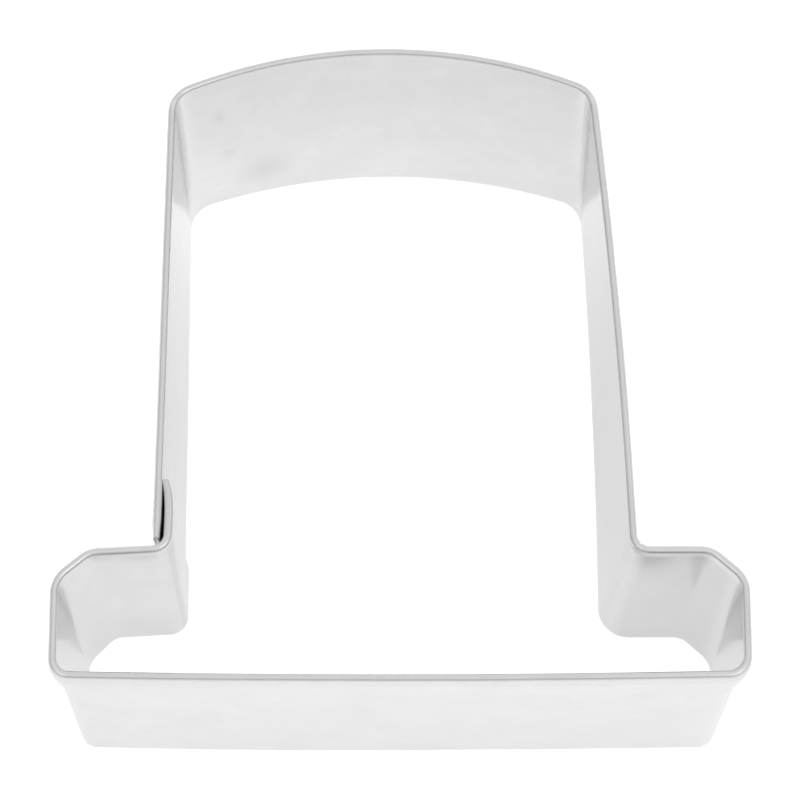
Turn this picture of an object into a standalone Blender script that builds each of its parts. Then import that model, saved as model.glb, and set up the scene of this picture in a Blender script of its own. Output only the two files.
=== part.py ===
"""Cookie cutter: one strip of tinned steel bent to a domed crown standing on a wide brim.

The strip stands on its cutting edge. Its upper edge is folded outward to a blunt hem, and its two ends
lap on the crown's left side, just above the brim, where two spot welds hold them.
X runs along the brim, Y from the straight front wall to the dome, Z up. Sizes are in metres.
"""
import math

import bpy
from mathutils import Vector
from mathutils.geometry import interpolate_bezier

# Sheet and hem
STRIP_HEIGHT = 0.0254
SHEET = 0.00028
HEM_GAP = 0.00028            # air between the wall and the folded edge
HEM_DEPTH = 0.0042           # how far the folded edge comes down the wall
FOOT_TRIM = 0.0004           # extra sheet below the foot, cut off level

# Brim, as the sheet's middle line seen from above
BRIM_LEFT = 0.03155          # from the middle to the two ends
BRIM_RIGHT = 0.0317
FRONT_LEFT = 0.0317          # from the middle to the front wall's ends, at the cutting edge
FRONT_RIGHT = 0.0315
BRIM_DEPTH = 0.01135         # from the front wall's ends to the two shelves
RIGHT_SHELF_RISE = 0.0001    # the right shelf sits this much higher
LEFT_SHELF_DROP = 0.0001     # the left shelf starts lower at its outer end
LEFT_SHELF_RISE = 0.0004     # and rises this much towards the crown
CHAMFER_WIDTH = 0.0029
CHAMFER_DEPTH = 0.0026
FRONT_BOW = 0.00034          # the front wall stands out this much in the middle

# Crown, at the cutting edge
CROWN_BASE_LEFT = -0.0220
CROWN_BASE_RIGHT = 0.0205
CROWN_TOP_LEFT = -0.0229
CROWN_TOP_RIGHT = 0.0201
CROWN_LENGTH = 0.04965        # from the shelves to the right shoulder, along Y
LEFT_SHOULDER_DROP = 0.0004   # the left shoulder sits this much lower
DOME_RISE = 0.0041
RIGHT_SIDE_BOW = 0.0004

# How far the rim has sprung from the foot at the bends, along X or Y
SPRING_TOP_LEFT_X = 0.0004
SPRING_TOP_RIGHT_X = -0.0009
SPRING_BASE_LEFT_X = -0.0003
SPRING_BASE_RIGHT_X = 0.0010
SPRING_SHOULDERS_Y = -0.0004
SPRING_DOME_RISE = 0.0006
SPRING_LEFT_CHAMFER_X = 0.0003
SPRING_LEFT_SHELF_Y = -0.0002
SPRING_FRONT_LEFT_X = 0.0004
SPRING_FRONT_RIGHT_X = -0.0001

# Bend radii of the sheet's middle line; the foot has opened more than the rim where a second one is given
SHOULDER_RADIUS = 0.0028
SHOULDER_FOOT_RADIUS = 0.0036
LEFT_INNER_CORNER_RADIUS = 0.0018
RIGHT_INNER_CORNER_RADIUS = 0.0018
RIGHT_INNER_CORNER_FOOT_RADIUS = 0.0029
SHELF_BEND_RADIUS = 0.0022
CHAMFER_BEND_RADIUS = 0.0025
FRONT_LEFT_RADIUS = 0.0013
FRONT_LEFT_FOOT_RADIUS = 0.0014
FRONT_RIGHT_RADIUS = 0.0016
FRONT_RIGHT_FOOT_RADIUS = 0.0017

# Lap of the strip's two ends on the crown's left side
LAP_LENGTH = 0.0053          # the two layers lie side by side over this length
OUTER_END_ABOVE_SHELF = 0.0021
LAP_CLEARANCE = 0.00008
LAP_BOW = 0.0001             # at the rim the inner layer bows away from the outer one

# Spot welds
WELD_RADIUS = 0.0012
LOWER_WELD_HEIGHT = 0.0060
UPPER_WELD_HEIGHT = 0.0135
WELD_CLEARANCE = 0.0003
WELD_EDGE = 0.00006          # rounding of a weld's two rims
WELD_SIDES = 24

# Smoothness
ARC_STEPS = 60
CORNER_STEPS = 7
DOME_STEPS = 18
SIDE_STEPS = 6
LAP_STEPS = 5
FRONT_STEPS = 8
HEM_STEPS = 8

SHOULDER_RIGHT = BRIM_DEPTH + CROWN_LENGTH
SHOULDER_LEFT = SHOULDER_RIGHT - LEFT_SHOULDER_DROP
HEM_TURN = (HEM_GAP + SHEET) / 2                   # radius of the fold's middle line
HEM_THICKNESS = HEM_GAP + 2 * SHEET
LIP_HEIGHT = STRIP_HEIGHT - HEM_DEPTH
FOOT_SPACING = SHEET + LAP_CLEARANCE               # between the middle lines of the two layers
LIP_SPACING = HEM_THICKNESS + LAP_CLEARANCE        # the inner layer's hem clears the outer wall
RIM_SPACING = FOOT_SPACING + (LIP_SPACING - FOOT_SPACING) * STRIP_HEIGHT / LIP_HEIGHT


def clear_scene():
    for item in list(bpy.data.objects):
        bpy.data.objects.remove(item, do_unlink=True)


def new_collection(name):
    group = bpy.data.collections.new(name)
    bpy.context.scene.collection.children.link(group)
    return group


def metal(name, grey, roughness):
    material = bpy.data.materials.new(name)
    material.use_nodes = True
    shader = material.node_tree.nodes["Principled BSDF"]
    shader.inputs["Base Color"].default_value = (grey, grey, grey * 1.01, 1.0)
    shader.inputs["Metallic"].default_value = 1.0
    shader.inputs["Roughness"].default_value = roughness
    return material


def bowed_edge(start, end, bow, steps):
    """Points on the arc from start to end whose middle stands out to the right of the way by bow."""
    chord = end - start
    length = chord.length
    side = Vector((chord.y, -chord.x)) / length
    if abs(bow) < 1e-7:
        return [start + chord * k / steps for k in range(steps + 1)]
    radius = (length ** 2 / 4 + bow ** 2) / (2 * bow)
    half = math.asin(length / 2 / abs(radius)) * math.copysign(1, bow)
    points = []
    for k in range(steps + 1):
        angle = half * (2 * k / steps - 1)
        along = length / 2 + abs(radius) * math.sin(angle) * math.copysign(1, bow)
        points.append(start + chord * along / length + side * (radius * math.cos(angle) - radius + bow))
    return points


def cut_back(points, distance):
    """The polyline with this much taken off its start."""
    left = distance
    for k in range(len(points) - 1):
        step = points[k + 1] - points[k]
        if step.length > left:
            return [points[k] + step * left / step.length] + points[k + 1:]
        left -= step.length
    return points[-2:]


def outline(corners, radii, bows, steps):
    """Middle line through the corners, each rounded by its radius; every call gives as many points."""
    edges = [bowed_edge(corners[k], corners[k + 1], bows[k], ARC_STEPS) for k in range(len(bows))]
    lengths = [sum((b - a).length for a, b in zip(edge, edge[1:])) for edge in edges]
    trims = [0.0]
    for k in range(1, len(edges)):
        before = (edges[k - 1][-1] - edges[k - 1][-2]).normalized()
        after = (edges[k][1] - edges[k][0]).normalized()
        trim = radii[k - 1] * math.tan(before.angle(after) / 2)
        trims.append(min(trim, 0.45 * lengths[k - 1], 0.45 * lengths[k]))
    trims.append(0.0)

    ways = []
    for k, edge in enumerate(edges):
        shortened = cut_back(cut_back(edge, trims[k])[::-1], trims[k + 1])
        ways.append(resample(shortened[::-1], steps[k]))

    line = list(ways[0])
    for before, after in zip(ways, ways[1:]):
        leave = (before[-1] - before[-2]).normalized()
        enter = (after[1] - after[0]).normalized()
        turn = leave.angle(enter)
        reach = (after[0] - before[-1]).length / (2 * math.sin(turn / 2)) * math.tan(turn / 4) * 4 / 3
        handles = (before[-1], before[-1] + leave * reach, after[0] - enter * reach, after[0])
        bend = interpolate_bezier(*[point.to_3d() for point in handles], CORNER_STEPS + 1)
        line += [point.to_2d() for point in bend[1:-1]]
        line += after
    return line


def resample(points, steps):
    """The same polyline with this many equal steps."""
    marks = [0.0]
    for a, b in zip(points, points[1:]):
        marks.append(marks[-1] + (b - a).length)
    result = []
    k = 0
    for n in range(steps + 1):
        mark = marks[-1] * n / steps
        while k < len(marks) - 2 and marks[k + 1] < mark:
            k += 1
        share = (mark - marks[k]) / (marks[k + 1] - marks[k])
        result.append(points[k].lerp(points[k + 1], min(share, 1.0)))
    return result


def crown_left_x(y, base, top, shoulder):
    """X of the crown's left side at this Y, on the straight line from base to top."""
    return base + (top - base) * (y - BRIM_DEPTH) / (shoulder - BRIM_DEPTH)


def strip_line(sprung):
    """The strip's middle line from the inner end to the outer end, at the foot or, sprung, at the rim."""
    spring = 1.0 if sprung else 0.0
    base_left = CROWN_BASE_LEFT + SPRING_BASE_LEFT_X * spring
    base_right = CROWN_BASE_RIGHT + SPRING_BASE_RIGHT_X * spring
    top_left = CROWN_TOP_LEFT + SPRING_TOP_LEFT_X * spring
    top_right = CROWN_TOP_RIGHT + SPRING_TOP_RIGHT_X * spring
    shoulder_left = SHOULDER_LEFT + SPRING_SHOULDERS_Y * spring
    shoulder_right = SHOULDER_RIGHT + SPRING_SHOULDERS_Y * spring
    dome = DOME_RISE + SPRING_DOME_RISE * spring
    spacing = RIM_SPACING if sprung else FOOT_SPACING
    left_chamfer = CHAMFER_WIDTH + SPRING_LEFT_CHAMFER_X * (spring - 1.0)
    left_shelf = BRIM_DEPTH + SPRING_LEFT_SHELF_Y * (spring - 1.0) - LEFT_SHELF_DROP
    shoulder_radius = SHOULDER_RADIUS if sprung else SHOULDER_FOOT_RADIUS
    right_shelf = BRIM_DEPTH + RIGHT_SHELF_RISE
    front_left = SPRING_FRONT_LEFT_X * spring - FRONT_LEFT
    front_right = SPRING_FRONT_RIGHT_X * spring + FRONT_RIGHT
    right_radius = RIGHT_INNER_CORNER_RADIUS if sprung else RIGHT_INNER_CORNER_FOOT_RADIUS
    front_left_radius = FRONT_LEFT_RADIUS if sprung else FRONT_LEFT_FOOT_RADIUS
    front_right_radius = FRONT_RIGHT_RADIUS if sprung else FRONT_RIGHT_FOOT_RADIUS

    outer_end = BRIM_DEPTH + OUTER_END_ABOVE_SHELF
    inner_end = outer_end + LAP_LENGTH
    outer_x = crown_left_x(outer_end, base_left, top_left, shoulder_left)
    inner_x = crown_left_x(inner_end, base_left, top_left, shoulder_left) + spacing
    corners = [
        Vector((inner_x, inner_end)),
        Vector((base_left + spacing, left_shelf + LEFT_SHELF_RISE)),
        Vector((left_chamfer - BRIM_LEFT, left_shelf)),
        Vector((-BRIM_LEFT, BRIM_DEPTH - CHAMFER_DEPTH)),
        Vector((front_left, 0.0)),
        Vector((front_right, 0.0)),
        Vector((BRIM_RIGHT, BRIM_DEPTH - CHAMFER_DEPTH)),
        Vector((BRIM_RIGHT - CHAMFER_WIDTH, right_shelf)),
        Vector((base_right, right_shelf)),
        Vector((top_right, shoulder_right)),
        Vector((top_left, shoulder_left)),
        Vector((outer_x, outer_end)),
    ]
    radii = [LEFT_INNER_CORNER_RADIUS, SHELF_BEND_RADIUS, CHAMFER_BEND_RADIUS, front_left_radius,
             front_right_radius, CHAMFER_BEND_RADIUS, SHELF_BEND_RADIUS, right_radius,
             shoulder_radius, shoulder_radius]
    bows = [-LAP_BOW * spring, 0.0, 0.0, 0.0, FRONT_BOW, 0.0, 0.0, 0.0, RIGHT_SIDE_BOW, dome, 0.0]
    steps = [LAP_STEPS, 1, 1, 1, FRONT_STEPS, 1, 1, 1, SIDE_STEPS, DOME_STEPS, SIDE_STEPS]
    return outline(corners, radii, bows, steps)


def hem_profile(group):
    """Open section of the sheet's middle line: up the wall, over the fold and down to its lip."""
    points = [(0.0, -FOOT_TRIM)]
    top = STRIP_HEIGHT - SHEET / 2 - HEM_TURN
    for k in range(HEM_STEPS + 1):
        angle = math.pi * (1 - k / HEM_STEPS)
        points.append((HEM_TURN * (1 + math.cos(angle)), top + HEM_TURN * math.sin(angle)))
    points.append((2 * HEM_TURN, LIP_HEIGHT))
    data = bpy.data.curves.new("hem_profile", "CURVE")
    data.dimensions = "2D"
    spline = data.splines.new("POLY")
    spline.points.add(len(points) - 1)
    for point, (out, up) in zip(spline.points, points):
        point.co = (out, up, 0.0, 1.0)
    profile = bpy.data.objects.new("hem_profile", data)
    profile.hide_render = True
    profile.display_type = "WIRE"
    group.objects.link(profile)
    return profile


def strip_sweep(profile, group):
    """The section carried along the foot's outline, leaning at each point as far as the rim has sprung."""
    foot = strip_line(False)
    rim = strip_line(True)
    data = bpy.data.curves.new("strip_path", "CURVE")
    data.dimensions = "3D"
    data.twist_mode = "Z_UP"
    data.bevel_mode = "OBJECT"
    data.bevel_object = profile
    spline = data.splines.new("POLY")
    spline.points.add(len(foot) - 1)
    for k, point in enumerate(spline.points):
        before = foot[max(k - 1, 0)]
        after = foot[min(k + 1, len(foot) - 1)]
        way = (after - before).normalized()
        outward = Vector((way.y, -way.x))
        point.co = (foot[k].x, foot[k].y, 0.0, 1.0)
        point.tilt = math.asin((rim[k] - foot[k]).dot(outward) / STRIP_HEIGHT)
    path = bpy.data.objects.new("strip_path", data)
    group.objects.link(path)
    bpy.context.view_layer.update()
    evaluated = path.evaluated_get(bpy.context.evaluated_depsgraph_get())
    mesh = bpy.data.meshes.new_from_object(evaluated)
    bpy.data.objects.remove(path, do_unlink=True)
    return mesh


def lap_at(height):
    """Where the lap's middle lies at this height: X of the outer layer, X of the inner layer, Y."""
    rise = height / STRIP_HEIGHT
    y = BRIM_DEPTH + OUTER_END_ABOVE_SHELF + LAP_LENGTH / 2
    foot = crown_left_x(y, CROWN_BASE_LEFT, CROWN_TOP_LEFT, SHOULDER_LEFT)
    rim = crown_left_x(y, CROWN_BASE_LEFT + SPRING_BASE_LEFT_X, CROWN_TOP_LEFT + SPRING_TOP_LEFT_X,
                       SHOULDER_LEFT + SPRING_SHOULDERS_Y)
    outer = foot + (rim - foot) * rise
    spacing = FOOT_SPACING + (RIM_SPACING - FOOT_SPACING + LAP_BOW) * rise
    return outer, outer + spacing, y


def weld_rod(name, height, radius, overhang, group):
    """A short rod square to the lap, from face to face of the two layers, longer by the overhang."""
    outer, inner, y = lap_at(height)
    low = lap_at(height - radius)
    high = lap_at(height + radius)
    lean = math.atan2((high[0] + high[1] - low[0] - low[1]) / 2, 2 * radius)
    depth = inner - outer + SHEET + 2 * overhang
    bpy.ops.mesh.primitive_cylinder_add(vertices=WELD_SIDES, radius=radius, depth=depth)
    rod = bpy.context.active_object
    rod.name = name
    rod.data.name = name
    rod.location = ((outer + inner) / 2, y, height)
    rod.rotation_euler = (0.0, math.pi / 2 + lean, 0.0)
    for owner in list(rod.users_collection):
        owner.objects.unlink(rod)
    group.objects.link(rod)
    return rod


def cut(target, cutter):
    modifier = target.modifiers.new(cutter.name, "BOOLEAN")
    modifier.operation = "DIFFERENCE"
    modifier.solver = "EXACT"
    modifier.object = cutter
    cutter.hide_render = True
    cutter.display_type = "WIRE"


def foot_cutter(group):
    """A block under the cutter that trims the foot to one plane."""
    size = 4 * (SHOULDER_RIGHT + DOME_RISE)
    bpy.ops.mesh.primitive_cube_add(size=size, location=(0.0, 0.0, -size / 2))
    block = bpy.context.active_object
    block.name = "foot_trim"
    for owner in list(block.users_collection):
        owner.objects.unlink(block)
    group.objects.link(block)
    return block


def build():
    clear_scene()
    parts = new_collection("cookie_cutter")
    cutters = new_collection("cutters")
    tinplate = metal("tinplate", 0.80, 0.22)
    weld_metal = metal("weld_metal", 0.55, 0.38)

    profile = hem_profile(cutters)
    mesh = strip_sweep(profile, cutters)
    mesh.name = "formed_strip"
    mesh.materials.clear()
    mesh.materials.append(tinplate)
    strip = bpy.data.objects.new("formed_strip", mesh)
    parts.objects.link(strip)
    skin = strip.modifiers.new("sheet", "SOLIDIFY")
    skin.thickness = SHEET
    skin.offset = 0.0
    skin.use_even_offset = True
    skin.use_quality_normals = True
    cut(strip, foot_cutter(cutters))
    mesh.shade_smooth()
    mesh.set_sharp_from_angle(angle=math.radians(30))

    root = bpy.data.objects.new("cookie_cutter", None)
    parts.objects.link(root)
    strip.parent = root
    for height, place in ((LOWER_WELD_HEIGHT, "lower"), (UPPER_WELD_HEIGHT, "upper")):
        hole = weld_rod("weld_hole_" + place, height, WELD_RADIUS + WELD_CLEARANCE, 2 * SHEET, cutters)
        hole.parent = root
        cut(strip, hole)
        weld = weld_rod("spot_weld_" + place, height, WELD_RADIUS, 0.0, parts)
        weld.data.materials.append(weld_metal)
        rounding = weld.modifiers.new("rims", "BEVEL")
        rounding.width = WELD_EDGE
        rounding.segments = 2
        rounding.limit_method = "ANGLE"
        weld.data.shade_smooth()
        weld.data.set_sharp_from_angle(angle=math.radians(30))
        weld.parent = root

    bpy.context.view_layer.update()
    finished = strip.evaluated_get(bpy.context.evaluated_depsgraph_get())
    box = [strip.matrix_world @ Vector(corner) for corner in finished.bound_box]
    middle_x = (min(corner.x for corner in box) + max(corner.x for corner in box)) / 2
    middle_y = (min(corner.y for corner in box) + max(corner.y for corner in box)) / 2
    root.location = (-middle_x, -middle_y, 0.0)
    bpy.context.view_layer.update()


build()
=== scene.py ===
"""Looks of the cookie cutter: the bent tinplate strip, its folded rim, its lapped and welded ends.

Metres, in the part's own frame: +X along the brim, +Y from the front wall to the dome, +Z up.
"""
import math

import bpy
import numpy as np
from mathutils import Matrix, Vector, noise
from mathutils.geometry import interpolate_bezier


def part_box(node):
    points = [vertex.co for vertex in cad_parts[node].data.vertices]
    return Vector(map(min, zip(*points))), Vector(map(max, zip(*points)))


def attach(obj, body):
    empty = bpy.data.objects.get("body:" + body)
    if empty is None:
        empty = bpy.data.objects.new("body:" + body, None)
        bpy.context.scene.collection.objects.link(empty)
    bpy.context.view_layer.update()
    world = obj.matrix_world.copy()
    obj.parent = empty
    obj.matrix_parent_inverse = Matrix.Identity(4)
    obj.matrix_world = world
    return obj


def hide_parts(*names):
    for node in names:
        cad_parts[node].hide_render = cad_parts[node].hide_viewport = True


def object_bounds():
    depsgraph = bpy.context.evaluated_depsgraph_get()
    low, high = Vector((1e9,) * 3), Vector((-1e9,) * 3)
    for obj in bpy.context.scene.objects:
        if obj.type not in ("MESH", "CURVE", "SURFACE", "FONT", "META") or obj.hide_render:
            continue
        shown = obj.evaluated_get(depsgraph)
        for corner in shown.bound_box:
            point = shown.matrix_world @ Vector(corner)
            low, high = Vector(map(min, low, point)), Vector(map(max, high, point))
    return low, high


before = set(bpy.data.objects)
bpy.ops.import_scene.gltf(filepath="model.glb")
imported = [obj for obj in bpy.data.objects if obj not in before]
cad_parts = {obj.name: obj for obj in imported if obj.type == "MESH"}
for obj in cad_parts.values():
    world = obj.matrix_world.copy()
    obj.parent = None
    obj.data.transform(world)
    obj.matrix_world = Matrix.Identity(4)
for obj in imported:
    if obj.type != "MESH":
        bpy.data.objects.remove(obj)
cad_low, cad_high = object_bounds()

# Strip, the same sizes as the part's, but here the outer end stands 0.5 mm closer to the brim
STRIP_HEIGHT = 0.0254
SHEET = 0.00028
HEM_GAP = 0.00028
HEM_DEPTH = 0.0042
BRIM_LEFT = 0.03155
BRIM_RIGHT = 0.0317
FRONT_LEFT = 0.0317
FRONT_RIGHT = 0.0315
BRIM_DEPTH = 0.01135
RIGHT_SHELF_RISE = 0.0001
LEFT_SHELF_DROP = 0.0001
LEFT_SHELF_RISE = 0.0004
CHAMFER_WIDTH = 0.0029
CHAMFER_DEPTH = 0.0026
FRONT_BOW = 0.00034
CROWN_BASE_LEFT = -0.0220
CROWN_BASE_RIGHT = 0.0205
CROWN_TOP_LEFT = -0.0229
CROWN_TOP_RIGHT = 0.0201
CROWN_LENGTH = 0.04965
LEFT_SHOULDER_DROP = 0.0004
DOME_RISE = 0.0041
RIGHT_SIDE_BOW = 0.0004
LAP_LENGTH = 0.0058
OUTER_END_ABOVE_SHELF = 0.0016
WELDS_ABOVE_SHELF = 0.00475
LAP_CLEARANCE = 0.00008
LAP_BOW = 0.0001

# How far the rim has sprung from the foot at the bends, along X or Y
SPRING_TOP_LEFT_X = 0.0004
SPRING_TOP_RIGHT_X = -0.0009
SPRING_BASE_LEFT_X = -0.0003
SPRING_BASE_RIGHT_X = 0.0010
SPRING_SHOULDERS_Y = -0.0004
SPRING_DOME_RISE = 0.0006
SPRING_LEFT_CHAMFER_X = 0.0003
SPRING_LEFT_SHELF_Y = -0.0002
SPRING_FRONT_LEFT_X = 0.0004
SPRING_FRONT_RIGHT_X = -0.0001

# Bend radii of the sheet's middle line
SHOULDER_RADIUS = 0.0028
SHOULDER_FOOT_RADIUS = 0.0036
LEFT_INNER_CORNER_RADIUS = 0.0018
RIGHT_INNER_CORNER_RADIUS = 0.0018
RIGHT_INNER_CORNER_FOOT_RADIUS = 0.0029
SHELF_BEND_RADIUS = 0.0022
CHAMFER_BEND_RADIUS = 0.0025
FRONT_LEFT_RADIUS = 0.0013
FRONT_LEFT_FOOT_RADIUS = 0.0014
FRONT_RIGHT_RADIUS = 0.0016
FRONT_RIGHT_FOOT_RADIUS = 0.0017


class Bend:
    """The bends' numbers, from the strip's inner end to its outer end."""
    INNER_LEFT, SHELF_LEFT, CHAMFER_LEFT, FRONT_LEFT, FRONT_RIGHT = range(5)
    CHAMFER_RIGHT, SHELF_RIGHT, INNER_RIGHT, SHOULDER_RIGHT, SHOULDER_LEFT = range(5, 10)


# What handling and pressing have done to the sheet
EDGE_ROUND = 0.000025         # rounding of the sheared edges
EDGE_RESTS = (0.0, 0.3, 1.0, 2.0)       # rows of that rounding, in radii from the edge
LIP_CLOSING = 0.00003         # the fold's lip is pressed this far towards the wall
CLOSED_BENDS = (Bend.SHELF_LEFT, Bend.CHAMFER_LEFT, Bend.CHAMFER_RIGHT, Bend.SHELF_RIGHT,
                Bend.SHOULDER_RIGHT, Bend.SHOULDER_LEFT)
FRONT_BENDS = (Bend.FRONT_LEFT, Bend.FRONT_RIGHT)
BEND_CLOSING = 0.00004        # this much more round the outer bends
CORNER_CLOSING = 0.00016      # and this much more round the two front corners
CLOSING_WIDTH = 0.0016
LIP_WANDER = 0.00006          # the lip's edge wanders this much up and down
LIP_WAVES = ((0.009, 1.0, 3.1), (0.0025, 0.5, 7.7))         # length, share, seed
LIP_RISES = (                 # bend, how much higher the lip's edge stands there
    (Bend.FRONT_LEFT, 0.00050),
    (Bend.FRONT_RIGHT, 0.00050),
    (Bend.SHOULDER_RIGHT, 0.00016),
    (Bend.SHOULDER_LEFT, 0.00016),
    (Bend.CHAMFER_LEFT, 0.0001),
    (Bend.CHAMFER_RIGHT, 0.0001),
)
LIP_RISE_WIDTH = 0.0013
BEAD_WANDER = 0.000012        # unevenness of the folded bead
BEAD_WAVES = ((0.0022, 1.0, 5.3), (0.008, 1.0, 9.1))        # length, share, seed
BEAD_SIDEWAYS = 1.5           # it is this much stronger sideways than up and down
BEAD_REACH = 0.0008           # how far down from the rim it goes
SWAY = 0.00007                # broad waviness of the wall at the foot
SWAY_LENGTH = 0.020
RIPPLE = 0.000012             # finer waviness
RIPPLE_LENGTH = 0.006
HELD_AT_RIM = 0.75            # share of both that the stiff rim takes away
TOP_CURL = 0.00005            # below the fold the wall curls outward this much
TOP_CURL_LENGTH = 0.0022
FOLD_CREST = 0.00029          # the fold is highest this far out from the wall's middle line
FOLD_SQUARENESS = 0.80        # below 1 the fold is flatter on top and tighter on the wall's side
FOLD_SHOULDER = 0.00046       # height of the fold's outer shoulder
LIP_TILT = 0.15               # the lip leaves the shoulder at this slope and swings down to upright
LIP_SWING = 0.0017            # over this height
CREASE_DEPTH = 0.00013        # the hem folds over itself in the right inner corner
CREASE_WIDTH = 0.00022
CREASE_SHOULDER = 0.3         # share of that depth that stands out beside the fold
CREASE_SHOULDER_PLACE = 2.4 * CREASE_WIDTH
CREASE_LEFT = 0.2             # share of that depth in the left inner corner
TAIL_PINCH = 0.00046          # the inner layer's last bit leans back to the outer one
TAIL_PINCH_LENGTH = 0.0034
TAIL_SQUEEZE = 0.34           # and its hem is squeezed flat there
TAIL_SQUEEZE_LENGTH = 0.8 * TAIL_PINCH_LENGTH
LAP_FULLNESS = 0.00004        # in the lap and the corner below it the inner layer's hem is fuller
FULLNESS_START = 0.0025       # over this length from its end
LIP_FLARE = 0.00034           # the outer layer's lip stands open along the lap
LIP_FLARE_LENGTH = 0.0054
LIP_FLARE_END = 0.0012        # but closes over this length at its cut end
HEAD_VEER = 0.00012           # the outer layer's end veers outward into its own hem
HEAD_VEER_LENGTH = 0.0022
HEAD_SQUEEZE = 0.28
HEAD_SHUT = 0.00013           # and its lip closes on the wall there
HEAD_SHUT_FROM = 0.0010       # from this far under the rim on
HEAD_SHUT_FULL = 0.0022
HEAD_THIN = 0.35              # share of the thickness lost round the hem's cut end
HEAD_THIN_LENGTH = 0.0006
KNEE_LENGTH = 0.002           # the inner layer's wall leaves the outer one over this length
# Lengths past the lap where what is done along it has ended and where it is still full
FULLNESS_FADE = (0.0022, 0.0007)
# Fades of the painted highlights by the lap's gap
HIGHLIGHT_TAIL_FADE = (0.0018, 0.0010)
HIGHLIGHT_HEAD_FADE = (0.0004, -0.0004)
# Fades of the painted shade in the lap's gap
GAP_SHADE_TAIL_FADE = (0.0006, 0.0)
GAP_SHADE_HEAD_FADE = (-0.0001, -0.0004)
DENTS = (                     # bend, place along from it, height, half width, half height, depth
    (Bend.SHOULDER_LEFT, -0.0045, 0.0181, 0.00025, 0.0011, 0.000006),
    (Bend.SHOULDER_LEFT, -0.0050, 0.0105, 0.0005, 0.0005, 0.000004),
    (Bend.SHOULDER_LEFT, -0.0087, 0.0042, 0.0020, 0.0016, 0.000020),
    (Bend.INNER_LEFT, 0.0040, 0.0130, 0.0012, 0.0022, 0.000025),
    (Bend.INNER_RIGHT, -0.0030, 0.0120, 0.0016, 0.0030, 0.000030),
    (Bend.SHOULDER_RIGHT, 0.0090, 0.0150, 0.0030, 0.0040, -0.000020),
)

# Where the colour is darker: painted shade by the right shelf and under the fold in the inner corners, and
# darker patches on the back wall's dents and on the crown's left wall
SHADE_PATCHES = (                   # painted shade under the fold in the inner corners: bend, place along from it, height, half width, half height, darkness
    (Bend.INNER_RIGHT, -0.0024, 0.0246, 0.0019, 0.0036, 0.85),
    (Bend.INNER_LEFT, 0.0023, 0.0246, 0.0015, 0.0018, 0.35),
)
# Darker patches on the back wall's dents, with the same columns
DENT_PATCHES = (
    (Bend.SHOULDER_LEFT, -0.0087, 0.0048, 0.0026, 0.0024, 0.30),
    (Bend.SHOULDER_LEFT, -0.0045, 0.0181, 0.0005, 0.0011, 0.30),
    (Bend.SHOULDER_LEFT, -0.0050, 0.0105, 0.0006, 0.0007, 0.21),
)
WEDGE_SHADE = 0.5          # painted shade: a dark wedge beside the right shelf's bend, widest under the fold
WEDGE_HEIGHTS = (0.0145, 0.0240)        # of its tip and of its full width
WEDGE_PLACE = 0.00035         # of its tip, along from the bend
WEDGE_LEAN = 0.0005           # its middle moves on by this much on its way up
WEDGE_TIP = 0.0001            # half its width at the tip
WEDGE_SPREAD = 0.0007         # and how much that grows
SHELF_SHADE = 0.34         # painted shade from the right chamfer's front bend to the right inner corner
SHELF_FADE = 0.0015
LEFT_WALL_DARKENING = 0.25
LEFT_WALL_FADE = (0.004, 0.012)         # along from the left shoulder, to none and to full
DARKENING_FADE = (0.0245, 0.0239)            # heights under the fold where all of it is gone and still full
DARKENING_OUTSIDE = 0.4            # share of it on the outer face

# Painted highlights: bright flanks of the fold, and lighter bends and shoulders
HIGHLIGHT_CORNER_PLACE = -0.0003           # along from the right inner corner
HIGHLIGHT_CORNER_WIDTH = 0.0013
HIGHLIGHT_HEIGHTS = (0.0240, 0.0244)       # on the wall's side it sets in and is full here
HIGHLIGHT_LIP_FACE = 0.6
HIGHLIGHT_ALL_ROUND = 0.3
BEND_SHINE = 0.2              # painted highlight at every bend, and the full share beside the two shoulders
BEND_SHINE_WIDTH = 0.0011
SHOULDER_SHINES = ((Bend.SHOULDER_RIGHT, -0.0012), (Bend.SHOULDER_LEFT, 0.0012))    # bend, place from it
SHOULDER_SHINE_WIDTH = 0.0008

# Spot welds
WELD_HEIGHTS = {"lower": 0.0060, "upper": 0.0135}
WELD_RADIUS = 0.0012
WELD_DISH = 0.000004          # how far the electrodes have dented the sheet
WELD_DISH_REACH = (1.35 * WELD_RADIUS, 0.85 * WELD_RADIUS)
WELD_PROUD = 0.000002         # how far a weld's face stands out of that dent
WELD_SIDES = 64
WELD_RINGS = (0.0, 0.22, 0.45, 0.66, 0.84, 0.95, 1.0)
WELD_RIDGE = 0.84             # the face stands proudest on this ring
WELD_RIDGE_RISE = 1.2         # shares of how far it stands out
WELD_RIDGE_WIDTH = 0.09
WELD_RIPPLE = 0.3
WELD_RIPPLE_SCALE = 2600
WELD_RIM_SINK = 1.5           # the outermost ring is sunk into the sheet
WELD_UNEVENNESS = 0.05

# Fineness of the mesh
ARC_STEPS = 240
STRAIGHT = 1e-7               # a bow below this leaves an edge straight
MOST_TRIM = 0.45              # share of an edge that one bend may take
CORNER_STEPS = 18
BEAD_STEPS = 22
LIP_STEPS = 10
WALL_STEP = 0.0007
WELD_STEP = 0.00028
SHARP_ANGLE = math.radians(50)

# Camera, solved from the outlines of the rim and the foot
LENS = 109.58
SENSOR = 36.0
CAMERA_PLACE = Vector((-0.000548, -0.097947, 0.237726))
CAMERA_RIGHT = Vector((1.0, -0.00156, 0.00196))
CAMERA_UP = Vector((0.00065, 0.91706, 0.39874))

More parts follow.
